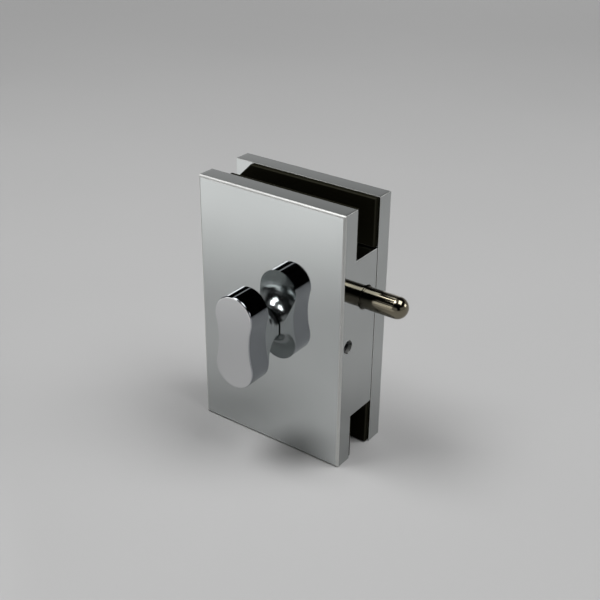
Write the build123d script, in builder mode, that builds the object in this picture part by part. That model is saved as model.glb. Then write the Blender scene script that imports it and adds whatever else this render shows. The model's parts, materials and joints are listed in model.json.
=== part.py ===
from build123d import *
from math import atan2, cos, degrees, radians, sin
import os

os.makedirs("parts", exist_ok=True)

# Glass door latch with a thumb-turn, in millimetres. X runs along the door towards the strike,
# Y through the glass from the thumb-turn side to the plain side, and Z is up. The origin is on
# the glass mid-plane, under the middle of the plates' bottom edges.

# Plates and the glass between them
PLATE_WIDTH = 50.0
PLATE_HEIGHT = 80.0
PLATE_THICKNESS = 6.0
PLATE_EDGE_RADIUS = 0.8
GLASS_THICKNESS = 8.0
GASKET_THICKNESS = 1.5
GASKET_SIDE_INSET = 2.0
GASKET_CASE_SIDE_INSET = 0.6
GASKET_END_INSET = 0.2
GASKET_CORNER_CUT = 4.4
GASKET_TO_CASE = 0.3
CLAMP_GAP = 0.3

# Bolt, measured from the side face that it leaves
BOLT_HEIGHT = 51.9
BOLT_PROJECTION = 13.5
BOLT_NOSE_DIAMETER = 6.4
BOLT_SHANK_DIAMETER = 6.8
BOLT_TAIL_DIAMETER = 4.4
BOLT_TAIL_LENGTH = 9.6
BOLT_SHANK_OUTSIDE = 0.5
BOLT_EXIT_DIAMETER = 7.3
FLUSH_MARGIN = 0.1

# Case block on the front plate, around the bolt
CASE_ABOVE_BOLT = 13.1
CASE_BELOW_BOLT = 36.9
CASE_END_WALL = 3.1
CASE_SIDE_WALL = 1.5

# Thumb-turn
BACKSET = 26.7
SPINDLE_BELOW_BOLT = 12.3
TURN_ANGLE = 90.0
KNOB_LENGTH = 29.0
KNOB_LOBE_DIAMETER = 13.0
KNOB_WAIST_WIDTH = 10.9
KNOB_THICKNESS = 7.7
KNOB_EDGE_RADIUS = 0.45
NECK_DIAMETER = 11.2
NECK_LENGTH = 6.1
NECK_STRAIGHT = 0.5
WASHER_DIAMETER = 9.0
WASHER_THICKNESS = 0.4
WASHER_BORE_GAP = 0.1
JOURNAL_DIAMETER = 6.0
TENON_DIAMETER = 4.0
TENON_LENGTH = 10.0
SQUARE_SIDE = 3.6
REAR_PIVOT_DIAMETER = 3.2
GROOVE_DIAMETER = 4.8
GROOVE_WIDTH = 3.4

# Crank on the spindle and the slider that it drives
ARM_THICKNESS = 1.5
ARM_HUB_DIAMETER = 8.4
ARM_TIP_DIAMETER = 4.4
CRANK_PIN_DIAMETER = 2.0
ROLLER_DIAMETER = 3.0
ROLLER_END_GAP = 0.4
CLIP_THICKNESS = 0.5
CLIP_DIAMETER = 6.2
CLIP_OPENING = 2.4
SLIDER_ABOVE_BOLT = 3.95
SLIDER_BELOW_BOLT = 8.1
SLIDER_SLOT_WALL = 2.1
SLIDER_PIN_DIAMETER = 1.5
SLIDER_PIN_INSET = 5.2
SLIDER_PIN_REACH = 4.2
GUIDE_LENGTH = 5.0

# Cover over the mechanism
COVER_THICKNESS = 1.2
COVER_LEDGE = 1.6
COVER_END_LEDGE = 2.2
COVER_TO_RECESS = 0.1
COVER_TAB_WIDTH = 8.0
COVER_TAB_SETBACK = 23.0
REAR_BUSH_DIAMETER = 5.2
REAR_BUSH_FLANGE_DIAMETER = 6.8
REAR_BUSH_FLANGE = 0.8

# Screws
COVER_SCREW_DIAMETER = 2.0
COVER_SCREW_HEAD_DIAMETER = 3.5
COVER_SCREW_LENGTH = 5.0
COVER_SCREW_CLEARANCE = 2.8
PLATE_SCREW_DIAMETER = 4.0
PLATE_SCREW_HEAD_DIAMETER = 7.5
PLATE_SCREW_LENGTH = 12.0
PLATE_SCREW_SIDE_INSET = 4.8
PLATE_SCREW_TOP_INSET = 3.8
PLATE_SCREW_BOTTOM_INSET = 6.0
SET_SCREW_DIAMETER = 4.0
SET_SCREW_LENGTH = 20.0
SET_SCREW_FROM_FRONT = 3.3
PAD_DIAMETER = 3.0
PAD_LENGTH = 3.0
GRUB_DIAMETER = 2.5
GRUB_LENGTH = 3.0
GRUB_BITE = 0.4
SOCKET_SHARE = 0.5
COUNTERSINK_ANGLE = 90.0

# Clearances
RUNNING_FIT = 0.05
SEAT_FIT = 0.03
SLIDE_GAP = 0.15
LAYER_GAP = 0.2
STOP_GAP = 0.3
SLOT_PLAY = 0.4
CHAMBER_GAP = 0.5
TIP_GAP = 0.1

# Places across the glass, from front to back
slot_width = GLASS_THICKNESS + 2 * GASKET_THICKNESS
front_inner = -slot_width / 2
front_outer = front_inner - PLATE_THICKNESS
back_inner = slot_width / 2
back_outer = back_inner + PLATE_THICKNESS
case_back = back_inner - CLAMP_GAP
cover_inner = case_back - COVER_THICKNESS
arm_front = front_inner + LAYER_GAP
arm_back = arm_front + ARM_THICKNESS
slider_front = arm_back + LAYER_GAP
slider_back = cover_inner - LAYER_GAP
neck_end = front_outer - WASHER_THICKNESS
knob_back = neck_end - NECK_LENGTH
neck_hollow = NECK_LENGTH - NECK_STRAIGHT

# Places along the door and up
side_face = PLATE_WIDTH / 2
spindle_x = side_face - BACKSET
spindle_z = BOLT_HEIGHT - SPINDLE_BELOW_BOLT
throw = BOLT_PROJECTION + FLUSH_MARGIN
crank_radius = throw / 2 / sin(radians(TURN_ANGLE / 2))
crank_x = spindle_x + throw / 2
crank_z = spindle_z + crank_radius * cos(radians(TURN_ANGLE / 2))
slot_half_width = ROLLER_DIAMETER / 2 + SLOT_PLAY
guide_right = side_face - CASE_SIDE_WALL
guide_left = guide_right - GUIDE_LENGTH
slider_right = guide_left - STOP_GAP
slider_left = crank_x - slot_half_width - SLIDER_SLOT_WALL
slider_bottom = BOLT_HEIGHT - SLIDER_BELOW_BOLT
slider_top = BOLT_HEIGHT + SLIDER_ABOVE_BOLT
channel_left = slider_left - throw - STOP_GAP
channel_bottom = slider_bottom - SLIDE_GAP
channel_top = slider_top + SLIDE_GAP
chamber_half_width = throw / 2 + CHAMBER_GAP
chamber_bottom = spindle_z - ARM_HUB_DIAMETER / 2 - CHAMBER_GAP
case_left = channel_left - CASE_END_WALL
case_bottom = BOLT_HEIGHT - CASE_BELOW_BOLT
case_top = BOLT_HEIGHT + CASE_ABOVE_BOLT
cover_left = channel_left - COVER_END_LEDGE
cover_right = side_face - CASE_SIDE_WALL / 2
cover_bottom = chamber_bottom - COVER_LEDGE
cover_top = channel_top + COVER_LEDGE
tab_x = side_face - COVER_TAB_SETBACK
set_screw_y = front_outer + SET_SCREW_FROM_FRONT
pad_inner = spindle_x + GROOVE_DIAMETER / 2 + TIP_GAP
pad_outer = pad_inner + PAD_LENGTH
shank_end = side_face + BOLT_SHANK_OUTSIDE

# Screw places as (x, z)
cover_screw_places = [
    (spindle_x - chamber_half_width - COVER_SCREW_CLEARANCE, spindle_z),
    (spindle_x + chamber_half_width + COVER_SCREW_CLEARANCE, spindle_z),
    (tab_x, channel_top + COVER_SCREW_CLEARANCE),
]
plate_screw_places = [
    (x, z)
    for x in (case_left + PLATE_SCREW_SIDE_INSET, side_face - PLATE_SCREW_SIDE_INSET)
    for z in (case_bottom + PLATE_SCREW_BOTTOM_INSET, case_top - PLATE_SCREW_TOP_INSET)
]


def facing(y):
    """The sketch plane at depth y that faces the thumb-turn side, with local axes X and Z."""
    return Plane.XZ.offset(-y)


def side_on(x):
    """The sketch plane at x that faces the strike, with local axes Y and Z."""
    return Plane.YZ.offset(x)


def sketch_block(x_min, x_max, z_min, z_max):
    """A rectangle between two X and two Z values, in the sketch under way."""
    with Locations(((x_min + x_max) / 2, (z_min + z_max) / 2)):
        Rectangle(x_max - x_min, z_max - z_min)


def disc(y_back, y_front, x, z, diameter, mode=Mode.ADD):
    """A round bar or bore through the glass direction, in the part under way."""
    with BuildSketch(facing(y_back)) as section:
        with Locations((x, z)):
            Circle(diameter / 2)
    extrude(section.sketch, amount=y_back - y_front, mode=mode)


def bar(x_start, x_end, y, z, diameter, mode=Mode.ADD):
    """A round bar or bore along the door, in the part under way."""
    with BuildSketch(side_on(x_start)) as section:
        with Locations((y, z)):
            Circle(diameter / 2)
    extrude(section.sketch, amount=x_end - x_start, mode=mode)


def sketch_knob_outline():
    """Two round lobes joined by hollow flanks, tangent where they meet, about the local origin."""
    lobe = KNOB_LOBE_DIAMETER / 2
    waist = KNOB_WAIST_WIDTH / 2
    lobe_height = KNOB_LENGTH / 2 - lobe
    flank = (lobe_height**2 + waist**2 - lobe**2) / (2 * (lobe - waist))
    flank_centre = flank + waist
    tangent = degrees(atan2(lobe_height, flank_centre))
    with BuildLine() as outline:
        CenterArc((0, lobe_height), lobe, -tangent, 180 + 2 * tangent)
        CenterArc((-flank_centre, 0), flank, -tangent, 2 * tangent)
        CenterArc((0, -lobe_height), lobe, 180 - tangent, 180 + 2 * tangent)
        CenterArc((flank_centre, 0), flank, 180 - tangent, 2 * tangent)
    make_face(outline.edges())


def sketch_gasket():
    """Sealing pad around the case, with its two free corners cut off."""
    left = -side_face + GASKET_SIDE_INSET
    right = side_face - GASKET_CASE_SIDE_INSET
    bottom = GASKET_END_INSET
    top = PLATE_HEIGHT - GASKET_END_INSET
    with BuildLine() as outline:
        Polyline(
            (right, bottom),
            (right, top),
            (left + GASKET_CORNER_CUT, top),
            (left, top - GASKET_CORNER_CUT),
            (left, bottom + GASKET_CORNER_CUT),
            (left + GASKET_CORNER_CUT, bottom),
            close=True,
        )
    make_face(outline.edges())
    with Locations(
        ((case_left - GASKET_TO_CASE + side_face) / 2, (case_bottom + case_top) / 2)
    ):
        Rectangle(
            side_face - case_left + GASKET_TO_CASE,
            case_top - case_bottom + 2 * GASKET_TO_CASE,
            mode=Mode.SUBTRACT,
        )


def sketch_cover(gap):
    """Cover outline with its screw tab, drawn in by the gap on every side."""
    sketch_block(cover_left + gap, cover_right - gap, cover_bottom + gap, cover_top - gap)
    tab_top = channel_top + 2 * COVER_SCREW_CLEARANCE
    sketch_block(
        tab_x - COVER_TAB_WIDTH / 2 + gap, tab_x + COVER_TAB_WIDTH / 2 - gap, BOLT_HEIGHT, tab_top - gap
    )


def countersunk_screw(place, y_head, diameter, head_diameter, length):
    """Countersunk socket screw whose head is flush with y_head and whose tip points forward."""
    x, z = place
    head_height = (head_diameter - diameter) / 2
    disc(y_head, y_head - length, x, z, diameter)
    with BuildSketch(facing(y_head)) as head:
        with Locations((x, z)):
            Circle(head_diameter / 2)
    extrude(head.sketch, amount=head_height, taper=COUNTERSINK_ANGLE / 2)
    with BuildSketch(facing(y_head)) as socket:
        with Locations((x, z)):
            RegularPolygon(diameter * SOCKET_SHARE, 6)
    extrude(socket.sketch, amount=head_height, mode=Mode.SUBTRACT)


def countersunk_hole(place, y_head, y_through, diameter, head_diameter):
    """Clearance hole with a cone for a countersunk head that is flush with y_head."""
    x, z = place
    disc(y_head, y_through, x, z, diameter + 2 * SEAT_FIT, Mode.SUBTRACT)
    with BuildSketch(facing(y_head)) as cone:
        with Locations((x, z)):
            Circle(head_diameter / 2 + SEAT_FIT)
    depth = (head_diameter - diameter) / 2
    extrude(cone.sketch, amount=depth, taper=COUNTERSINK_ANGLE / 2, mode=Mode.SUBTRACT)


# Front plate with the case block cast on its inner face
with BuildPart() as front_housing:
    with BuildSketch(facing(front_inner)):
        sketch_block(-side_face, side_face, 0, PLATE_HEIGHT)
    extrude(amount=PLATE_THICKNESS)
    front_edges = front_housing.faces().sort_by(Axis.Y)[0].edges()
    fillet(front_edges, PLATE_EDGE_RADIUS)
    with BuildSketch(facing(case_back)):
        sketch_block(case_left, side_face, case_bottom, case_top)
    extrude(amount=case_back - front_inner)
    # Channel of the slider and the guide, with the spindle's chamber under it
    with BuildSketch(facing(case_back)):
        sketch_block(channel_left, guide_right, channel_bottom, channel_top)
        sketch_block(
            spindle_x - chamber_half_width, spindle_x + chamber_half_width, chamber_bottom, BOLT_HEIGHT
        )
    extrude(amount=case_back - front_inner, mode=Mode.SUBTRACT)
    with BuildSketch(facing(case_back)):
        sketch_cover(0)
    extrude(amount=COVER_THICKNESS, mode=Mode.SUBTRACT)
    disc(front_inner, front_outer, spindle_x, spindle_z, JOURNAL_DIAMETER + 2 * RUNNING_FIT, Mode.SUBTRACT)
    bar(guide_right, side_face, 0, BOLT_HEIGHT, BOLT_EXIT_DIAMETER, Mode.SUBTRACT)
    # Side hole of the retaining screw, narrower where the pad runs
    bar(spindle_x, side_face, set_screw_y, spindle_z, PAD_DIAMETER + 2 * SEAT_FIT, Mode.SUBTRACT)
    bar(pad_outer, side_face, set_screw_y, spindle_z, SET_SCREW_DIAMETER + 2 * SEAT_FIT, Mode.SUBTRACT)
    for x, z in cover_screw_places:
        tip = case_back - COVER_SCREW_LENGTH - TIP_GAP
        disc(case_back, tip, x, z, COVER_SCREW_DIAMETER + 2 * SEAT_FIT, Mode.SUBTRACT)
    for x, z in plate_screw_places:
        tip = back_outer - PLATE_SCREW_LENGTH - TIP_GAP
        disc(case_back, tip, x, z, PLATE_SCREW_DIAMETER + 2 * SEAT_FIT, Mode.SUBTRACT)
front_housing.part.label = "front_housing"
export_step(front_housing.part, "parts/front_housing.step")

# Back plate, plain outside apart from its four countersunk screws
with BuildPart() as back_plate:
    with BuildSketch(facing(back_outer)):
        sketch_block(-side_face, side_face, 0, PLATE_HEIGHT)
    extrude(amount=PLATE_THICKNESS)
    back_edges = back_plate.faces().sort_by(Axis.Y)[-1].edges()
    fillet(back_edges, PLATE_EDGE_RADIUS)
    for place in plate_screw_places:
        countersunk_hole(
            place, back_outer, back_inner, PLATE_SCREW_DIAMETER, PLATE_SCREW_HEAD_DIAMETER
        )
back_plate.part.label = "back_plate"
export_step(back_plate.part, "parts/back_plate.step")

# Gaskets between the plates and the glass
with BuildPart() as front_gasket:
    with BuildSketch(facing(front_inner + GASKET_THICKNESS)):
        sketch_gasket()
    extrude(amount=GASKET_THICKNESS)
front_gasket.part.label = "front_gasket"
export_step(front_gasket.part, "parts/front_gasket.step")

with BuildPart() as back_gasket:
    with BuildSketch(facing(back_inner)):
        sketch_gasket()
    extrude(amount=GASKET_THICKNESS)
back_gasket.part.label = "back_gasket"
export_step(back_gasket.part, "parts/back_gasket.step")

# Knob of the thumb-turn. Its back is hollowed around a round neck that is wider than the waist.
grub_y = neck_end - NECK_LENGTH / 2
with BuildPart() as thumb_knob:
    knob_plane = Plane((spindle_x, neck_end, spindle_z), x_dir=(1, 0, 0), z_dir=(0, -1, 0))
    with BuildSketch(knob_plane):
        sketch_knob_outline()
    extrude(amount=NECK_LENGTH + KNOB_THICKNESS)
    fillet(thumb_knob.faces().sort_by(Axis.Y)[0].edges(), KNOB_EDGE_RADIUS)
    neck_side = spindle_x + NECK_DIAMETER / 2
    hollow_foot = neck_side + neck_hollow
    past_lobes = spindle_x + KNOB_LENGTH
    with BuildSketch(Plane.XY.offset(spindle_z)):
        with BuildLine():
            Line((neck_side, neck_end), (neck_side, knob_back + neck_hollow))
            CenterArc((hollow_foot, knob_back + neck_hollow), neck_hollow, 180, 90)
            Polyline(
                (hollow_foot, knob_back),
                (past_lobes, knob_back),
                (past_lobes, neck_end),
                (neck_side, neck_end),
            )
        make_face()
    revolve(axis=Axis((spindle_x, 0, spindle_z), (0, 1, 0)), mode=Mode.SUBTRACT)
    disc(
        neck_end,
        neck_end - TENON_LENGTH - TIP_GAP,
        spindle_x,
        spindle_z,
        TENON_DIAMETER + 2 * SEAT_FIT,
        Mode.SUBTRACT,
    )
    with BuildSketch(Plane.XY.offset(spindle_z)):
        with Locations((spindle_x, grub_y)):
            Circle(GRUB_DIAMETER / 2 + SEAT_FIT)
    extrude(amount=-NECK_DIAMETER, mode=Mode.SUBTRACT)
thumb_knob.part.label = "thumb_knob"
export_step(thumb_knob.part, "parts/thumb_knob.step")

# Grub screw from below that holds the knob on the tenon
grub_top = spindle_z - TENON_DIAMETER / 2 + GRUB_BITE
grub_bottom = grub_top - GRUB_LENGTH
with BuildPart() as knob_grub_screw:
    with BuildSketch(Plane.XY.offset(grub_bottom)):
        with Locations((spindle_x, grub_y)):
            Circle(GRUB_DIAMETER / 2)
    extrude(amount=GRUB_LENGTH)
    with BuildSketch(Plane.XY.offset(grub_bottom)):
        with Locations((spindle_x, grub_y)):
            RegularPolygon(GRUB_DIAMETER / 2 * SOCKET_SHARE, 6)
    extrude(amount=GRUB_LENGTH / 2, mode=Mode.SUBTRACT)
knob_grub_screw.part.label = "knob_grub_screw"
export_step(knob_grub_screw.part, "parts/knob_grub_screw.step")

# Thrust washer between the neck and the front plate
with BuildPart() as knob_washer:
    disc(front_outer, neck_end, spindle_x, spindle_z, WASHER_DIAMETER)
    disc(
        front_outer, neck_end, spindle_x, spindle_z, JOURNAL_DIAMETER + 2 * WASHER_BORE_GAP, Mode.SUBTRACT
    )
knob_washer.part.label = "knob_washer"
export_step(knob_washer.part, "parts/knob_washer.step")

# Spindle: tenon, grooved journal, square for the crank and rear pivot
rear_pivot_end = case_back - TIP_GAP
with BuildPart() as spindle:
    disc(neck_end, neck_end - TENON_LENGTH, spindle_x, spindle_z, TENON_DIAMETER)
    disc(arm_front, neck_end, spindle_x, spindle_z, JOURNAL_DIAMETER)
    with BuildSketch(facing(set_screw_y + GROOVE_WIDTH / 2)):
        with Locations((spindle_x, spindle_z)):
            Circle(JOURNAL_DIAMETER / 2 + RUNNING_FIT)
            Circle(GROOVE_DIAMETER / 2, mode=Mode.SUBTRACT)
    extrude(amount=GROOVE_WIDTH, mode=Mode.SUBTRACT)
    with BuildSketch(facing(arm_back)):
        with Locations((spindle_x, spindle_z)):
            Rectangle(SQUARE_SIDE, SQUARE_SIDE)
    extrude(amount=ARM_THICKNESS)
    disc(rear_pivot_end, arm_back, spindle_x, spindle_z, REAR_PIVOT_DIAMETER)
    with BuildSketch(facing(arm_back + CLIP_THICKNESS + SEAT_FIT)):
        with Locations((spindle_x, spindle_z)):
            Circle(REAR_PIVOT_DIAMETER / 2)
            Circle(CLIP_OPENING / 2, mode=Mode.SUBTRACT)
    extrude(amount=CLIP_THICKNESS + SEAT_FIT, mode=Mode.SUBTRACT)
    # Spot on the tenon that the grub screw bears in
    with BuildSketch(Plane.XY.offset(grub_top)):
        with Locations((spindle_x, grub_y)):
            Circle(GRUB_DIAMETER / 2 + SEAT_FIT)
    extrude(amount=-GRUB_LENGTH, mode=Mode.SUBTRACT)
spindle.part.label = "spindle"
export_step(spindle.part, "parts/spindle.step")

# Crank arm, from the spindle's square to the pin
with BuildPart() as crank_arm:
    with BuildSketch(facing(arm_back)):
        with Locations((spindle_x, spindle_z)):
            Circle(ARM_HUB_DIAMETER / 2)
        with Locations((crank_x, crank_z)):
            Circle(ARM_TIP_DIAMETER / 2)
        middle = ((spindle_x + crank_x) / 2, (spindle_z + crank_z) / 2)
        with Locations(Location(middle, 90 - TURN_ANGLE / 2)):
            Rectangle(crank_radius, ARM_TIP_DIAMETER)
        with Locations((spindle_x, spindle_z)):
            Rectangle(SQUARE_SIDE + 2 * SEAT_FIT, SQUARE_SIDE + 2 * SEAT_FIT, mode=Mode.SUBTRACT)
        with Locations((crank_x, crank_z)):
            Circle(CRANK_PIN_DIAMETER / 2 + SEAT_FIT, mode=Mode.SUBTRACT)
    extrude(amount=ARM_THICKNESS)
crank_arm.part.label = "crank_arm"
export_step(crank_arm.part, "parts/crank_arm.step")

# Crank pin and the roller on it, which runs in the slider's slot
crank_pin_end = slider_back - ROLLER_END_GAP
with BuildPart() as crank_pin:
    disc(crank_pin_end, arm_front, crank_x, crank_z, CRANK_PIN_DIAMETER)
crank_pin.part.label = "crank_pin"
export_step(crank_pin.part, "parts/crank_pin.step")

with BuildPart() as crank_roller:
    roller_back = crank_pin_end - ROLLER_END_GAP
    roller_front = arm_back + LAYER_GAP
    disc(roller_back, roller_front, crank_x, crank_z, ROLLER_DIAMETER)
    disc(
        roller_back, roller_front, crank_x, crank_z, CRANK_PIN_DIAMETER + 2 * RUNNING_FIT, Mode.SUBTRACT
    )
crank_roller.part.label = "crank_roller"
export_step(crank_roller.part, "parts/crank_roller.step")

# Open clip in the rear pivot's groove, which keeps the crank on its square
with BuildPart() as crank_clip:
    with BuildSketch(facing(arm_back + CLIP_THICKNESS)):
        with Locations((spindle_x, spindle_z)):
            Circle(CLIP_DIAMETER / 2)
            Circle(CLIP_OPENING / 2 + SEAT_FIT, mode=Mode.SUBTRACT)
        with Locations((spindle_x, spindle_z - CLIP_DIAMETER / 2)):
            Rectangle(CLIP_OPENING, CLIP_DIAMETER, mode=Mode.SUBTRACT)
    extrude(amount=CLIP_THICKNESS)
crank_clip.part.label = "crank_clip"
export_step(crank_clip.part, "parts/crank_clip.step")

# Bolt: tail in the slider, shank in the guide and a round nose outside
tail_left = slider_right - BOLT_TAIL_LENGTH
nose_radius = BOLT_NOSE_DIAMETER / 2
nose_start = side_face + BOLT_PROJECTION - nose_radius
slider_pin_x = slider_right - SLIDER_PIN_INSET
slider_pin_bottom = BOLT_HEIGHT - SLIDER_PIN_REACH
with BuildPart() as bolt:
    bar(tail_left, slider_right, 0, BOLT_HEIGHT, BOLT_TAIL_DIAMETER)
    bar(slider_right, shank_end, 0, BOLT_HEIGHT, BOLT_SHANK_DIAMETER)
    bar(shank_end, nose_start, 0, BOLT_HEIGHT, BOLT_NOSE_DIAMETER)
    with BuildSketch(Plane.XZ):
        with BuildLine():
            Line((nose_start, BOLT_HEIGHT), (nose_start, BOLT_HEIGHT + nose_radius))
            CenterArc((nose_start, BOLT_HEIGHT), nose_radius, 0, 90)
            Line((nose_start + nose_radius, BOLT_HEIGHT), (nose_start, BOLT_HEIGHT))
        make_face()
    revolve(axis=Axis((nose_start, 0, BOLT_HEIGHT), (1, 0, 0)))
    with BuildSketch(Plane.XY.offset(slider_pin_bottom)):
        with Locations((slider_pin_x, 0)):
            Circle(SLIDER_PIN_DIAMETER / 2 + SEAT_FIT)
    extrude(amount=slider_top - slider_pin_bottom, mode=Mode.SUBTRACT)
bolt.part.label = "bolt"
export_step(bolt.part, "parts/bolt.step")

# Slider on the bolt's tail, with the slot that the crank roller drives
with BuildPart() as bolt_slider:
    with BuildSketch(facing(slider_back)):
        sketch_block(slider_left, slider_right, slider_bottom, slider_top)
    extrude(amount=slider_back - slider_front)
    with BuildSketch(facing(slider_back)):
        sketch_block(
            crank_x - slot_half_width, crank_x + slot_half_width, slider_bottom, spindle_z + crank_radius
        )
        with Locations((crank_x, spindle_z + crank_radius)):
            Circle(slot_half_width)
    extrude(amount=slider_back - slider_front, mode=Mode.SUBTRACT)
    tail_bore = BOLT_TAIL_DIAMETER + 2 * SEAT_FIT
    bar(tail_left - SEAT_FIT, slider_right, 0, BOLT_HEIGHT, tail_bore, Mode.SUBTRACT)
    with BuildSketch(Plane.XY.offset(slider_pin_bottom)):
        with Locations((slider_pin_x, 0)):
            Circle(SLIDER_PIN_DIAMETER / 2 + SEAT_FIT)
    extrude(amount=slider_top - slider_pin_bottom, mode=Mode.SUBTRACT)
bolt_slider.part.label = "bolt_slider"
export_step(bolt_slider.part, "parts/bolt_slider.step")

# Cross pin through the slider and the bolt's tail
with BuildPart() as slider_pin:
    with BuildSketch(Plane.XY.offset(slider_pin_bottom + TIP_GAP)):
        with Locations((slider_pin_x, 0)):
            Circle(SLIDER_PIN_DIAMETER / 2)
    extrude(amount=slider_top - slider_pin_bottom - 2 * TIP_GAP)
slider_pin.part.label = "slider_pin"
export_step(slider_pin.part, "parts/slider_pin.step")

# Guide block that the bolt's shank runs in, dropped into the channel's end
with BuildPart() as bolt_guide:
    with BuildSketch(facing(cover_inner - SEAT_FIT)):
        sketch_block(
            guide_left, guide_right - SEAT_FIT, channel_bottom + SEAT_FIT, channel_top - SEAT_FIT
        )
    extrude(amount=cover_inner - front_inner - 2 * SEAT_FIT)
    bar(guide_left, guide_right, 0, BOLT_HEIGHT, BOLT_SHANK_DIAMETER + 2 * RUNNING_FIT, Mode.SUBTRACT)
bolt_guide.part.label = "bolt_guide"
export_step(bolt_guide.part, "parts/bolt_guide.step")

# Cover over the mechanism, sunk into the case's back
with BuildPart() as mechanism_cover:
    with BuildSketch(facing(case_back)):
        sketch_cover(COVER_TO_RECESS)
        with Locations((spindle_x, spindle_z)):
            Circle(REAR_BUSH_DIAMETER / 2 + SEAT_FIT, mode=Mode.SUBTRACT)
    extrude(amount=COVER_THICKNESS)
    for place in cover_screw_places:
        countersunk_hole(
            place, case_back, cover_inner, COVER_SCREW_DIAMETER, COVER_SCREW_HEAD_DIAMETER
        )
mechanism_cover.part.label = "mechanism_cover"
export_step(mechanism_cover.part, "parts/mechanism_cover.step")

# Flanged bush in the cover for the spindle's rear pivot
with BuildPart() as spindle_rear_bush:
    flange_back = cover_inner - SEAT_FIT
    disc(case_back, cover_inner - SEAT_FIT, spindle_x, spindle_z, REAR_BUSH_DIAMETER)
    disc(flange_back, flange_back - REAR_BUSH_FLANGE, spindle_x, spindle_z, REAR_BUSH_FLANGE_DIAMETER)
    disc(
        case_back,
        flange_back - REAR_BUSH_FLANGE,
        spindle_x,
        spindle_z,
        REAR_PIVOT_DIAMETER + 2 * RUNNING_FIT,
        Mode.SUBTRACT,
    )
spindle_rear_bush.part.label = "spindle_rear_bush"
export_step(spindle_rear_bush.part, "parts/spindle_rear_bush.step")

# Screws of the cover and of the back plate
with BuildPart() as cover_screws:
    for place in cover_screw_places:
        countersunk_screw(
            place, case_back, COVER_SCREW_DIAMETER, COVER_SCREW_HEAD_DIAMETER, COVER_SCREW_LENGTH
        )
cover_screws.part.label = "cover_screws"
export_step(cover_screws.part, "parts/cover_screws.step")

with BuildPart() as plate_screws:
    for place in plate_screw_places:
        countersunk_screw(
            place, back_outer, PLATE_SCREW_DIAMETER, PLATE_SCREW_HEAD_DIAMETER, PLATE_SCREW_LENGTH
        )
plate_screws.part.label = "plate_screws"
export_step(plate_screws.part, "parts/plate_screws.step")

# Retaining screw in the side hole, and the pad that it presses into the spindle's groove
screw_inner = pad_outer + SEAT_FIT
with BuildPart() as retaining_screw:
    bar(screw_inner, screw_inner + SET_SCREW_LENGTH, set_screw_y, spindle_z, SET_SCREW_DIAMETER)
    with BuildSketch(side_on(screw_inner + SET_SCREW_LENGTH)):
        with Locations((set_screw_y, spindle_z)):
            RegularPolygon(SET_SCREW_DIAMETER / 2 * SOCKET_SHARE, 6)
    extrude(amount=-SET_SCREW_DIAMETER / 2, mode=Mode.SUBTRACT)
retaining_screw.part.label = "retaining_screw"
export_step(retaining_screw.part, "parts/retaining_screw.step")

with BuildPart() as friction_pad:
    bar(pad_inner, pad_outer, set_screw_y, spindle_z, PAD_DIAMETER)
friction_pad.part.label = "friction_pad"
export_step(friction_pad.part, "parts/friction_pad.step")
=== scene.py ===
import json
import math

import bmesh
import bpy
from mathutils import Matrix, Vector


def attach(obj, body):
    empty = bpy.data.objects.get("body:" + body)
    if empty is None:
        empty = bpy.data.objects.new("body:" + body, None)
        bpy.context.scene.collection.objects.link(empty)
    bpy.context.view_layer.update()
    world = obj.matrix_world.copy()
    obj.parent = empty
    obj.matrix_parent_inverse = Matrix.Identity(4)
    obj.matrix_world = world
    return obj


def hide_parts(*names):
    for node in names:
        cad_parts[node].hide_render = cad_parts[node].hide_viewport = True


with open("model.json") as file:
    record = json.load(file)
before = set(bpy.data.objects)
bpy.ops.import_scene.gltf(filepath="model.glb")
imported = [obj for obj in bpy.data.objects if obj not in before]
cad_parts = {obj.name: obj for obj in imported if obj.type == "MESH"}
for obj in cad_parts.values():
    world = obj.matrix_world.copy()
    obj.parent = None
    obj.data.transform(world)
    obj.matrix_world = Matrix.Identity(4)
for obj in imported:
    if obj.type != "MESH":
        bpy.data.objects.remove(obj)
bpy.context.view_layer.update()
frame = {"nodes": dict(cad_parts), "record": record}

# Everything is in metres, in the frame of the CAD model: X along the door towards the strike,
# Y through the glass from the thumb-turn side to the plain side, Z up.
# A grain is given in waves per metre, and a colour as red, green and blue.

# Camera
CAMERA_PLACE = (0.15869, -0.21739, 0.18595)
CAMERA_AZIMUTH = math.radians(35.683)
CAMERA_ELEVATION = math.radians(27.973)
CAMERA_ROLL = math.radians(0.63)
CAMERA_LENS = 62.12
CAMERA_SENSOR = 36.0
CAMERA_NEAR = 0.01
CAMERA_FAR = 20.0

# White light
WHITE = (1.0, 1.0, 1.0)

# Noise: the range that most of its values lie in, and how many finer layers the clouds and grains have
NOISE_LOW = 0.3
NOISE_HIGH = 0.7
CLOUD_DETAIL = 2.0
KNOB_DETAIL = 3.0
METAL_DETAIL = 4.0
NYLON_DETAIL = 4.0
RUBBER_DETAIL = 5.0

# Sockets of a colour mix by number, because its sockets for plain values bear the same names
MIX_SHARE = 0
MIX_FIRST = 6
MIX_SECOND = 7
MIX_RESULT = 2

# Metals: how many times wider than the grain the clouds in their colour are
METAL_CLOUD_WIDTH = 8

# Knob: the depths where its colour and gloss change, and its chrome in front, on the flanks and behind,
# where painted shade makes the flanks, and less so the back, darker than the face.
# The grain varies the roughness between its two shares.
KNOB_FACE_Y = -0.0256
KNOB_BACK_Y = -0.0180
KNOB_BACK_BORDER = 0.0002
KNOB_FACE_COLOUR = (0.585, 0.59, 0.595)
KNOB_FLANK_SHADE_DARK = (0.34, 0.35, 0.375)
KNOB_FLANK_SHADE_LIGHT = (0.37, 0.38, 0.405)
KNOB_BACK_SHADE_COLOUR = (0.47, 0.49, 0.50)
KNOB_CLOUD = 60.0
KNOB_ROUGHNESS = 0.03
KNOB_BACK_ROUGHNESS = 0.18
KNOB_GRAIN = 400.0
KNOB_SMOOTHEST_SHARE = 0.9
KNOB_ROUGHEST_SHARE = 1.2
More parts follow.
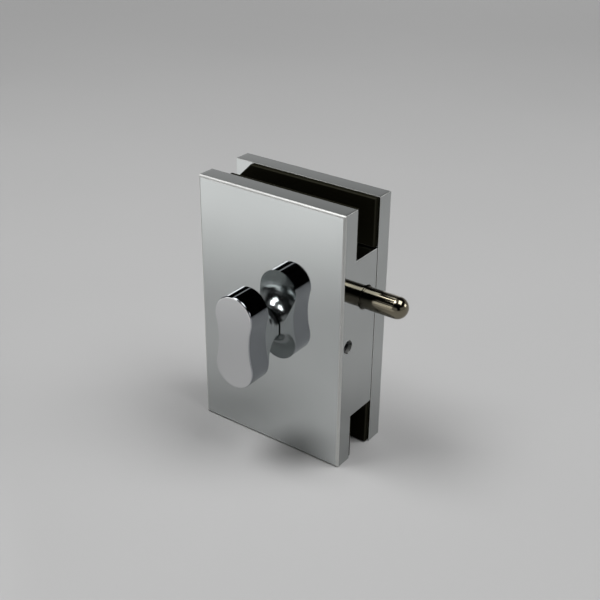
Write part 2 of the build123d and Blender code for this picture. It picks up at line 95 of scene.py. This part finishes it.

# Bolt: where along it the darker colour near the case, which is painted shade, gives way to the brighter
# nose
BOLT_DARK_X = 0.026
BOLT_BRIGHT_X = 0.036
BOLT_SHADED_ROOT_DARK = (0.085, 0.078, 0.060)
BOLT_SHADED_ROOT_LIGHT = (0.110, 0.100, 0.078)
BOLT_NOSE_DARK = (0.175, 0.157, 0.116)
BOLT_NOSE_LIGHT = (0.220, 0.198, 0.148)
BOLT_CLOUD = 112.0
BOLT_GRAIN = 900.0
BOLT_GRAIN_STRETCH = (0.3, 3.0, 3.0)
BOLT_SMOOTHEST = 0.10
BOLT_ROUGHEST = 0.15
BOLT_RELIEF = 0.000003

# Rubber of the gaskets
RUBBER_GRAIN = 2500.0
RUBBER_RELIEF = 0.00004
RUBBER_RELIEF_STRENGTH = 0.6

# Nylon of the washer and the friction pad
NYLON_DARK = (0.012, 0.012, 0.013)
NYLON_LIGHT = (0.03, 0.03, 0.032)
NYLON_GRAIN = 1200.0
NYLON_SMOOTHEST = 0.35
NYLON_ROUGHEST = 0.5

# Edges of the cast plates and the moulded gaskets: how far they are broken, and in how many steps
PLATE_EDGE_BREAK = 0.00012
PLATE_EDGE_STEPS = 2
GASKET_EDGE_ROUND = 0.00030
GASKET_EDGE_STEPS = 3
ROUND_PROFILE = 0.5

# Edges that are broken: from this length on, and within this angle of square
SHORTEST_BROKEN_EDGE = 0.004
SQUARE_WITHIN = math.radians(35)

# Shading of the refined pieces: below these angles an edge looks smooth, and two faces count as one.
# A face whose normal has a part of at least SQUARE_ON along an axis counts as flat, not as an edge's.
SHARP_ANGLE = math.radians(35)
FLAT_ANGLE = math.radians(0.2)
SQUARE_ON = 0.995
LARGE_FACES_FIRST = 100

# Distances on the refined pieces: from an end to the cut near it, and between points that count as one
END_CUT = 0.0013
ON_THE_CUT = 0.000001
SAME_POINT = 0.000002

# Finishes of a refined piece by number, where its flat faces have number 0
SIDE_FINISH = 1
EDGE_FINISH = 2

# Floor: a grey paper that varies a little, with a round pool of painted light in its colour. The front plate
# mirrors this painted pool of light, which lies outside the picture, to the front left.
FLOOR_HALF_WIDTH = 4.0
FLOOR_GREY = 0.45
FLOOR_VARIES = 0.015
FLOOR_CLOUD = 6.0
FLOOR_ROUGHNESS = 0.8
FLOOR_SHINE = 0.2
PAINTED_LIGHT_POOL_GREY = 0.94
PAINTED_LIGHT_POOL_MIDDLE = (-0.16, -0.30, 0.0)
PAINTED_LIGHT_POOL_INSIDE = 0.14
PAINTED_LIGHT_POOL_OUTSIDE = 0.26

# Far floor: from the start to the end of this stretch it glows with a share of the backdrop's light, painted
# light from a floor that is no lamp
FAR_FLOOR_START = 0.40
FAR_FLOOR_END = 1.3
FAR_FLOOR_SHARE = 0.9

# Surroundings: a low pale backdrop, a dark room above it and a dim ceiling straight above.
# Heights are the Z part of a direction of length 1. Where its Y part lies between the two edges,
# the backdrop is dark, which makes two sectors with soft edges, to the front left and the front right.
ROOM_DARK = 0.001
BACKDROP_LIGHT = 0.36
BACKDROP_FULL_HEIGHT = 0.25
BACKDROP_TOP = 0.50
CEILING_EDGE = 0.86
CEILING_FULL = 0.94
CEILING_LIGHT = 0.25
DARK_SECTOR_EDGES = ((-0.93, -0.82), (-0.42, -0.58))

# Lamps: soft boxes that light the latch, and windows and cards that show in its chrome
LAMP_AIM = (0.0, 0.0, 0.04)
LAMPS = [
    # name, place, direction of the long side, long side, short side, watts
    ("left_softbox", (-0.302, -0.191, 0.9), (0.9, 0.43, 0.0), 0.32, 0.40, 4.9),
    ("right_softbox", (0.36, 0.12, 0.9), (0.9, 0.43, 0.0), 0.44, 0.60, 5.3),
    ("front_left_window", (-0.60, -0.79, 0.09), (0.79, -0.60, 0.0), 0.44, 0.18, 0.75),
    ("front_left_card", (-0.47, -0.84, 0.29), (0.84, -0.47, 0.0), 0.2, 0.22, 0.28),
    ("streak_card", (-0.43, -0.717, 0.548), (0.717, -0.43, 0.0), 0.4, 0.07, 0.07),
    ("back_left_card", (-0.55, 0.90, 0.15), (0.90, 0.55, 0.0), 0.5, 0.3, 0.3),
    ("back_right_window", (0.76, 0.56, 0.33), (0.56, -0.76, 0.0), 0.35, 0.28, 1.5),
    ("grey_card", (-0.40, 0.55, 0.42), (0.55, 0.4, 0.0), 0.5, 0.35, 0.065),
]


def node_tools(tree):
    """Helpers that add a node to a tree and join two of its sockets."""

    def add(kind, **values):
        node = tree.nodes.new(kind)
        for key, value in values.items():
            if key in node.inputs:
                node.inputs[key].default_value = value
            else:
                setattr(node, key, value)
        return node

    return add, tree.links.new


def new_material(name):
    """A material with its shader, and helpers that add a node and join two sockets."""
    material = bpy.data.materials.new(name)
    material.use_nodes = True
    add, join = node_tools(material.node_tree)
    return material, material.node_tree.nodes["Principled BSDF"], add, join


def add_noise(add, join, grain, detail, stretch=(1.0, 1.0, 1.0)):
    """Noise in the object's own coordinates."""
    place = add("ShaderNodeTexCoord")
    mapping = add("ShaderNodeMapping")
    mapping.inputs["Scale"].default_value = stretch
    join(place.outputs["Object"], mapping.inputs["Vector"])
    noise = add("ShaderNodeTexNoise", Scale=grain, Detail=detail)
    join(mapping.outputs["Vector"], noise.inputs["Vector"])
    return noise.outputs["Fac"]


def parts_of(add, join, vector):
    """The X, Y and Z parts of a vector."""
    split = add("ShaderNodeSeparateXYZ")
    join(vector, split.inputs["Vector"])
    return split.outputs


def measured(add, join, operation, vector):
    """The node that measures or scales a vector by that operation."""
    node = add("ShaderNodeVectorMath", operation=operation)
    join(vector, node.inputs[0])
    return node


def combined(add, join, operation, first, second):
    """Two values put together, where either may be a plain number."""
    node = add("ShaderNodeMath", operation=operation)
    for socket, value in zip(node.inputs, (first, second)):
        if isinstance(value, float):
            socket.default_value = value
        else:
            join(value, socket)
    return node.outputs["Value"]


def carried_over(add, join, source, start, end, low, high):
    """A value that goes evenly from low at start to high at end."""
    step = add("ShaderNodeMapRange")
    step.inputs["From Min"].default_value = start
    step.inputs["From Max"].default_value = end
    step.inputs["To Min"].default_value = low
    step.inputs["To Max"].default_value = high
    join(source, step.inputs["Value"])
    return step.outputs["Result"]


def smooth_step(add, join, source, start, end):
    """A value that goes smoothly from 0 at start to 1 at end."""
    step = add("ShaderNodeMapRange", interpolation_type="SMOOTHSTEP")
    step.inputs["From Min"].default_value = start
    step.inputs["From Max"].default_value = end
    join(source, step.inputs["Value"])
    return step.outputs["Result"]


def spread(add, join, noise, low, high):
    """A noise's middle values spread over the range from low to high."""
    return carried_over(add, join, noise, NOISE_LOW, NOISE_HIGH, low, high)


def tinted(add, join, noise, dark, light):
    """A colour between two shades that follows a noise."""
    ramp = add("ShaderNodeValToRGB")
    first, last = ramp.color_ramp.elements
    first.position = NOISE_LOW
    last.position = NOISE_HIGH
    first.color = (*dark, 1.0)
    last.color = (*light, 1.0)
    join(noise, ramp.inputs["Fac"])
    return ramp.outputs["Color"]


def blended(add, join, share, first, second):
    """A colour that goes from the first to the second with the share. The second may be a plain colour."""
    mix = add("ShaderNodeMix", data_type="RGBA")
    join(share, mix.inputs[MIX_SHARE])
    join(first, mix.inputs[MIX_FIRST])
    if isinstance(second, tuple):
        mix.inputs[MIX_SECOND].default_value = (*second, 1.0)
    else:
        join(second, mix.inputs[MIX_SECOND])
    return mix.outputs[MIX_RESULT]


def bumped(add, join, shader, source, depth, strength=1.0):
    """Fine relief of that depth in metres on the shader."""
    bump = add("ShaderNodeBump", Strength=strength, Distance=depth)
    join(source, bump.inputs["Height"])
    join(bump.outputs["Normal"], shader.inputs["Normal"])


def metal(name, dark, light, smoothest, roughest, grain=300.0, stretch=(1.0, 1.0, 1.0), relief=0.0):
    """A bare or plated metal: colour and gloss that vary a little, and a fine relief."""
    material, shader, add, join = new_material(name)
    shader.inputs["Metallic"].default_value = 1.0
    cloud = add_noise(add, join, grain / METAL_CLOUD_WIDTH, CLOUD_DETAIL)
    join(tinted(add, join, cloud, dark, light), shader.inputs["Base Color"])
    fine = add_noise(add, join, grain, METAL_DETAIL, stretch)
    join(spread(add, join, fine, smoothest, roughest), shader.inputs["Roughness"])
    if relief:
        bumped(add, join, shader, fine, relief)
    return material


def rubber(name, dark, light, smoothest, roughest, shine):
    """Black sealing rubber with a fine matt grain."""
    material, shader, add, join = new_material(name)
    grain = add_noise(add, join, RUBBER_GRAIN, RUBBER_DETAIL)
    join(tinted(add, join, grain, dark, light), shader.inputs["Base Color"])
    join(spread(add, join, grain, smoothest, roughest), shader.inputs["Roughness"])
    shader.inputs["Specular IOR Level"].default_value = shine
    bumped(add, join, shader, grain, RUBBER_RELIEF, RUBBER_RELIEF_STRENGTH)
    return material


def nylon(name):
    """Black moulded nylon."""
    material, shader, add, join = new_material(name)
    grain = add_noise(add, join, NYLON_GRAIN, NYLON_DETAIL)
    join(tinted(add, join, grain, NYLON_DARK, NYLON_LIGHT), shader.inputs["Base Color"])
    join(spread(add, join, grain, NYLON_SMOOTHEST, NYLON_ROUGHEST), shader.inputs["Roughness"])
    return material


def knob_plating(name):
    """Chrome of the knob: brightest on the polished face, with painted shade that darkens the flanks and,
    less, the back, which is also duller.
    """
    material, shader, add, join = new_material(name)
    shader.inputs["Metallic"].default_value = 1.0
    depth = parts_of(add, join, add("ShaderNodeTexCoord").outputs["Object"])["Y"]
    cloud = add_noise(add, join, KNOB_CLOUD, CLOUD_DETAIL)
    # Painted shade: the flanks, and less so the back, get darker copies of the face's chrome
    flank = tinted(add, join, cloud, KNOB_FLANK_SHADE_DARK, KNOB_FLANK_SHADE_LIGHT)
    behind = combined(add, join, "GREATER_THAN", depth, KNOB_BACK_Y - KNOB_BACK_BORDER / 2)
    face = combined(add, join, "LESS_THAN", depth, KNOB_FACE_Y)
    sides = blended(add, join, behind, flank, KNOB_BACK_SHADE_COLOUR)
    join(blended(add, join, face, sides, KNOB_FACE_COLOUR), shader.inputs["Base Color"])
    border = KNOB_BACK_Y - KNOB_BACK_BORDER
    dullness = carried_over(add, join, depth, border, KNOB_BACK_Y, KNOB_ROUGHNESS, KNOB_BACK_ROUGHNESS)
    fine = add_noise(add, join, KNOB_GRAIN, KNOB_DETAIL)
    share = spread(add, join, fine, KNOB_SMOOTHEST_SHARE, KNOB_ROUGHEST_SHARE)
    join(combined(add, join, "MULTIPLY", dullness, share), shader.inputs["Roughness"])
    return material


def bolt_plating(name):
    """Warm nickel of the bolt: darker near the case, which is painted shade, and brighter towards the nose.
    """
    material, shader, add, join = new_material(name)
    shader.inputs["Metallic"].default_value = 1.0
    cloud = add_noise(add, join, BOLT_CLOUD, CLOUD_DETAIL)
    # Painted shade: the colours near the case are darker than on the nose
    root = tinted(add, join, cloud, BOLT_SHADED_ROOT_DARK, BOLT_SHADED_ROOT_LIGHT)
    nose = tinted(add, join, cloud, BOLT_NOSE_DARK, BOLT_NOSE_LIGHT)
    along = parts_of(add, join, add("ShaderNodeTexCoord").outputs["Object"])["X"]
    share = smooth_step(add, join, along, BOLT_DARK_X, BOLT_BRIGHT_X)
    join(blended(add, join, share, root, nose), shader.inputs["Base Color"])
    fine = add_noise(add, join, BOLT_GRAIN, METAL_DETAIL, BOLT_GRAIN_STRETCH)
    join(spread(add, join, fine, BOLT_SMOOTHEST, BOLT_ROUGHEST), shader.inputs["Roughness"])
    bumped(add, join, shader, fine, BOLT_RELIEF)
    return material


# The record's material slots. A metal has its dark and light colour and its smoothest and roughest gloss.
MATERIALS = {
    "satin_chrome": metal("plate_chrome", (0.53, 0.55, 0.545), (0.56, 0.58, 0.575), 0.03, 0.05),
    "bright_chrome": knob_plating("knob_chrome"),
    "nickel": bolt_plating("bolt_nickel"),
    "steel": metal(
        "machined_steel", (0.42, 0.43, 0.44), (0.56, 0.57, 0.58), 0.22, 0.4,
        grain=1500.0, stretch=(1, 6, 1), relief=0.000006,
    ),
    "spring_steel": metal("spring_steel", (0.2, 0.21, 0.22), (0.32, 0.33, 0.35), 0.3, 0.45, grain=900.0),
    "screw_steel": metal("screw_steel", (0.5, 0.5, 0.5), (0.62, 0.62, 0.62), 0.15, 0.28, grain=700.0),
    "zinc_sheet": metal("zinc_sheet", (0.5, 0.51, 0.51), (0.66, 0.67, 0.66), 0.28, 0.45, grain=250.0),
    "bronze": metal(
        "sintered_bronze", (0.42, 0.28, 0.13), (0.6, 0.44, 0.22), 0.35, 0.55, grain=4000.0, relief=0.00001
    ),
    "black_rubber": rubber(
        "sealing_rubber", (0.0042, 0.0039, 0.0016), (0.0085, 0.0077, 0.0030), 0.8, 0.95, shine=0.05
    ),
    "nylon": nylon("black_nylon"),
}
# Right and left sides of the plates: a darker copy of their chrome, painted shade
SHADED_SIDE_CHROME = metal("plate_side_painted_shade_chrome", (0.42, 0.435, 0.43), (0.455, 0.47, 0.465), 0.04, 0.07)
# Rounded plate edges: rubbed and rougher than the plates, and a little lighter and warmer, a painted
# highlight along them
EDGE_CHROME = metal("plate_edge_chrome", (0.55, 0.555, 0.54), (0.60, 0.605, 0.59), 0.50, 0.55)
# Rounded gasket edges: glossier than the rubber, and lighter, a painted highlight along them
RUBBER_EDGE = rubber("rubber_edge", (0.009, 0.0085, 0.004), (0.017, 0.016, 0.0075), 0.6, 0.75, shine=0.15)
BLACK_OXIDE = metal("black_oxide_steel", (0.014, 0.014, 0.015), (0.03, 0.03, 0.032), 0.3, 0.42, grain=900.0)
BLACK_SCREWS = ("retaining_screw", "knob_grub_screw")

# The three finishes of the refined pieces, for each slot: the flat faces, the sides, with painted shade on
# the chrome, and the rounded edges, with a painted highlight
FINISHES = {
    "satin_chrome": (MATERIALS["satin_chrome"], SHADED_SIDE_CHROME, EDGE_CHROME),
    "black_rubber": (MATERIALS["black_rubber"], MATERIALS["black_rubber"], RUBBER_EDGE),
}


def slot_of(node):
    """The material slot that the record gives a CAD node."""
    return next(part["material_slot"] for part in frame["record"]["subparts"] if part["node"] == node)


def dress_nodes():
    """Every CAD node gets the material of its slot, apart from the blackened screws."""
    for node, piece in frame["nodes"].items():
        material = BLACK_OXIDE if node in BLACK_SCREWS else MATERIALS[slot_of(node)]
        for place in piece.material_slots:
            place.material = material


def is_outline(edge):
    """A long, straight, convex edge between two faces that meet about squarely."""
    return (
        len(edge.link_faces) == 2
        and edge.calc_length() > SHORTEST_BROKEN_EDGE
        and edge.is_convex
        and abs(edge.calc_face_angle() - math.pi / 2) < SQUARE_WITHIN
    )


def cut_near_ends(shape):
    """Cuts close to the four sides, so that the long rounded edges are shaded evenly up to their corners."""
    for axis in (Vector((1, 0, 0)), Vector((0, 0, 1))):
        along = [axis.dot(vertex.co) for vertex in shape.verts]
        for place in (min(along) + END_CUT, max(along) - END_CUT):
            everything = shape.verts[:] + shape.edges[:] + shape.faces[:]
            middle = axis * place
            bmesh.ops.bisect_plane(shape, geom=everything, plane_co=middle, plane_no=axis, dist=ON_THE_CUT)


def broken_edges(node, name, edge_width, steps):
    """A mesh of a CAD node's shape with its long square edges broken."""
    shape = bmesh.new()
    shape.from_mesh(frame["nodes"][node].data)
    bmesh.ops.remove_doubles(shape, verts=shape.verts, dist=SAME_POINT)
    bmesh.ops.dissolve_limit(shape, angle_limit=FLAT_ANGLE, verts=shape.verts, edges=shape.edges)
    bmesh.ops.bevel(
        shape,
        geom=[edge for edge in shape.edges if is_outline(edge)],
        offset=edge_width,
        segments=steps,
        profile=ROUND_PROFILE,
        affect="EDGES",
        clamp_overlap=True,
    )
    cut_near_ends(shape)
    for face in shape.faces:
        face.smooth = True
    for edge in shape.edges:
        edge.smooth = len(edge.link_faces) == 2 and edge.calc_face_angle() < SHARP_ANGLE
    mesh = bpy.data.meshes.new(name)
    shape.to_mesh(mesh)
    shape.free()
    if "custom_normal" in mesh.attributes:
        mesh.attributes.remove(mesh.attributes["custom_normal"])
    return mesh


def shade_flat_faces_flat(piece):
    """Applied normals that keep the large faces flat right up to their rounded edges."""
    weighted = piece.modifiers.new("flat_faces", "WEIGHTED_NORMAL")
    weighted.weight = LARGE_FACES_FIRST
    weighted.keep_sharp = True
    bpy.context.view_layer.update()
    finished = bpy.data.meshes.new_from_object(piece.evaluated_get(bpy.context.evaluated_depsgraph_get()))
    piece.modifiers.clear()
    piece.data = finished
    finished.materials.clear()


def finish_faces(mesh, flat, side, edge):
    """One finish on the flat faces, one on the right and left sides, and one on the rounded edges: on the
    chrome the sides are darker, painted shade, and the edges rubbed and rougher, and both edge finishes are
    a little lighter, a painted highlight.
    """
    for material in (flat, side, edge):
        mesh.materials.append(material)
    for face in mesh.polygons:
        sideways, outwards, upwards = (abs(value) for value in face.normal)
        if sideways > SQUARE_ON:
            face.material_index = SIDE_FINISH
        elif max(outwards, upwards) < SQUARE_ON and face.area > 0:
            face.material_index = EDGE_FINISH


def refined(node, body, name, edge_width, steps):
    """A visual piece of a CAD node's shape, with its long square edges broken."""
    piece = bpy.data.objects.new(name, broken_edges(node, name, edge_width, steps))
    bpy.context.scene.collection.objects.link(piece)
    shade_flat_faces_flat(piece)
    finish_faces(piece.data, *FINISHES[slot_of(node)])
    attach(piece, body)
    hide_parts(node)


def backdrop_light(add, join, outwards):
    """How bright the backdrop is for the Y part of a direction: none of it in the two dark sectors."""
    dark = [smooth_step(add, join, outwards, start, end) for start, end in DARK_SECTOR_EDGES]
    pale = combined(add, join, "SUBTRACT", 1.0, combined(add, join, "MULTIPLY", *dark))
    return combined(add, join, "MULTIPLY", pale, BACKDROP_LIGHT)


def floor_colour(add, join, place):
    """Grey with soft clouds, and pale in the round pool of painted light."""
    dark = (FLOOR_GREY * (1 - FLOOR_VARIES),) * 3
    light = (FLOOR_GREY * (1 + FLOOR_VARIES),) * 3
    paper = tinted(add, join, add_noise(add, join, FLOOR_CLOUD, CLOUD_DETAIL), dark, light)
    away = measured(add, join, "DISTANCE", place)
    # Painted light: a round pool of light painted into the floor's colour
    away.inputs[1].default_value = PAINTED_LIGHT_POOL_MIDDLE
    patch = smooth_step(add, join, away.outputs["Value"], PAINTED_LIGHT_POOL_OUTSIDE, PAINTED_LIGHT_POOL_INSIDE)
    return blended(add, join, patch, paper, (PAINTED_LIGHT_POOL_GREY,) * 3)


def floor_glow(add, join, place):
    """The faint light by which the far floor joins the backdrop."""
    far = measured(add, join, "LENGTH", place).outputs["Value"]
    direction = measured(add, join, "NORMALIZE", place).outputs["Vector"]
    outwards = parts_of(add, join, direction)["Y"]
    sweep = smooth_step(add, join, far, FAR_FLOOR_START, FAR_FLOOR_END)
    glow = combined(add, join, "MULTIPLY", sweep, backdrop_light(add, join, outwards))
    return combined(add, join, "MULTIPLY", glow, FAR_FLOOR_SHARE)


def floor_paper(name):
    """Matt paper of the floor."""
    material, shader, add, join = new_material(name)
    place = add("ShaderNodeTexCoord").outputs["Object"]
    join(floor_colour(add, join, place), shader.inputs["Base Color"])
    shader.inputs["Roughness"].default_value = FLOOR_ROUGHNESS
    shader.inputs["Specular IOR Level"].default_value = FLOOR_SHINE
    join(floor_glow(add, join, place), shader.inputs["Emission Strength"])
    shader.inputs["Emission Color"].default_value = (*WHITE, 1.0)
    return material


def make_floor():
    """Wide flat floor that the latch stands on."""
    mesh = bpy.data.meshes.new("floor")
    half = FLOOR_HALF_WIDTH
    corners = [(-half, -half, 0), (half, -half, 0), (half, half, 0), (-half, half, 0)]
    mesh.from_pydata(corners, [], [(0, 1, 2, 3)])
    mesh.materials.append(floor_paper("floor_paper"))
    floor = bpy.data.objects.new("floor", mesh)
    bpy.context.scene.collection.objects.link(floor)


def placed(columns, place):
    """A matrix from the three directions of an object's axes and its place."""
    matrix = Matrix(columns).transposed().to_4x4()
    matrix.translation = place
    return matrix


def make_lamps():
    """Soft studio lamps and dim cards, all aimed at the latch."""
    for name, place, long_direction, long_side, short_side, watts in LAMPS:
        lamp = bpy.data.lights.new(name, "AREA")
        lamp.shape = "RECTANGLE"
        lamp.size = long_side
        lamp.size_y = short_side
        lamp.energy = watts
        holder = bpy.data.objects.new(name, lamp)
        bpy.context.scene.collection.objects.link(holder)
        back = (Vector(place) - Vector(LAMP_AIM)).normalized()
        side = back.cross(Vector(long_direction)).normalized()
        holder.matrix_world = placed((side.cross(back), side, back), place)
        holder.visible_camera = False


def make_world():
    """Surroundings of the floor: a low pale backdrop, a dark room above it and a dim ceiling on top."""
    world = bpy.data.worlds.new("studio")
    bpy.context.scene.world = world
    world.use_nodes = True
    add, join = node_tools(world.node_tree)
    background = world.node_tree.nodes["Background"]
    background.inputs["Color"].default_value = (*WHITE, 1.0)
    direction = parts_of(add, join, add("ShaderNodeTexCoord").outputs["Generated"])
    low = smooth_step(add, join, direction["Z"], BACKDROP_TOP, BACKDROP_FULL_HEIGHT)
    light = combined(add, join, "MULTIPLY", low, backdrop_light(add, join, direction["Y"]))
    overhead = smooth_step(add, join, direction["Z"], CEILING_EDGE, CEILING_FULL)
    ceiling = combined(add, join, "MULTIPLY", overhead, CEILING_LIGHT)
    room = combined(add, join, "ADD", light, ROOM_DARK)
    join(combined(add, join, "ADD", room, ceiling), background.inputs["Strength"])


def make_camera():
    """Camera at the photograph's angle."""
    azimuth, elevation, roll = CAMERA_AZIMUTH, CAMERA_ELEVATION, CAMERA_ROLL
    away_x = math.sin(azimuth) * math.cos(elevation)
    away_y = -math.cos(azimuth) * math.cos(elevation)
    back = Vector((away_x, away_y, math.sin(elevation)))
    right = (-back).cross(Vector((0, 0, 1))).normalized()
    up = right.cross(-back)
    turned_right = right * math.cos(roll) + up * math.sin(roll)
    turned_up = up * math.cos(roll) - right * math.sin(roll)
    camera = bpy.data.cameras.new("camera")
    camera.sensor_width = CAMERA_SENSOR
    camera.lens = CAMERA_LENS
    camera.clip_start = CAMERA_NEAR
    camera.clip_end = CAMERA_FAR
    holder = bpy.data.objects.new("camera", camera)
    bpy.context.scene.collection.objects.link(holder)
    holder.matrix_world = placed((turned_right, turned_up, back), CAMERA_PLACE)
    bpy.context.scene.camera = holder


dress_nodes()
refined("front_housing", "housing", "front_housing_cast", PLATE_EDGE_BREAK, PLATE_EDGE_STEPS)
refined("back_plate", "housing", "back_plate_cast", PLATE_EDGE_BREAK, PLATE_EDGE_STEPS)
refined("front_gasket", "housing", "front_gasket_moulded", GASKET_EDGE_ROUND, GASKET_EDGE_STEPS)
refined("back_gasket", "housing", "back_gasket_moulded", GASKET_EDGE_ROUND, GASKET_EDGE_STEPS)
make_floor()
make_lamps()
make_world()
make_camera()
bpy.context.scene.view_settings.view_transform = "Standard"
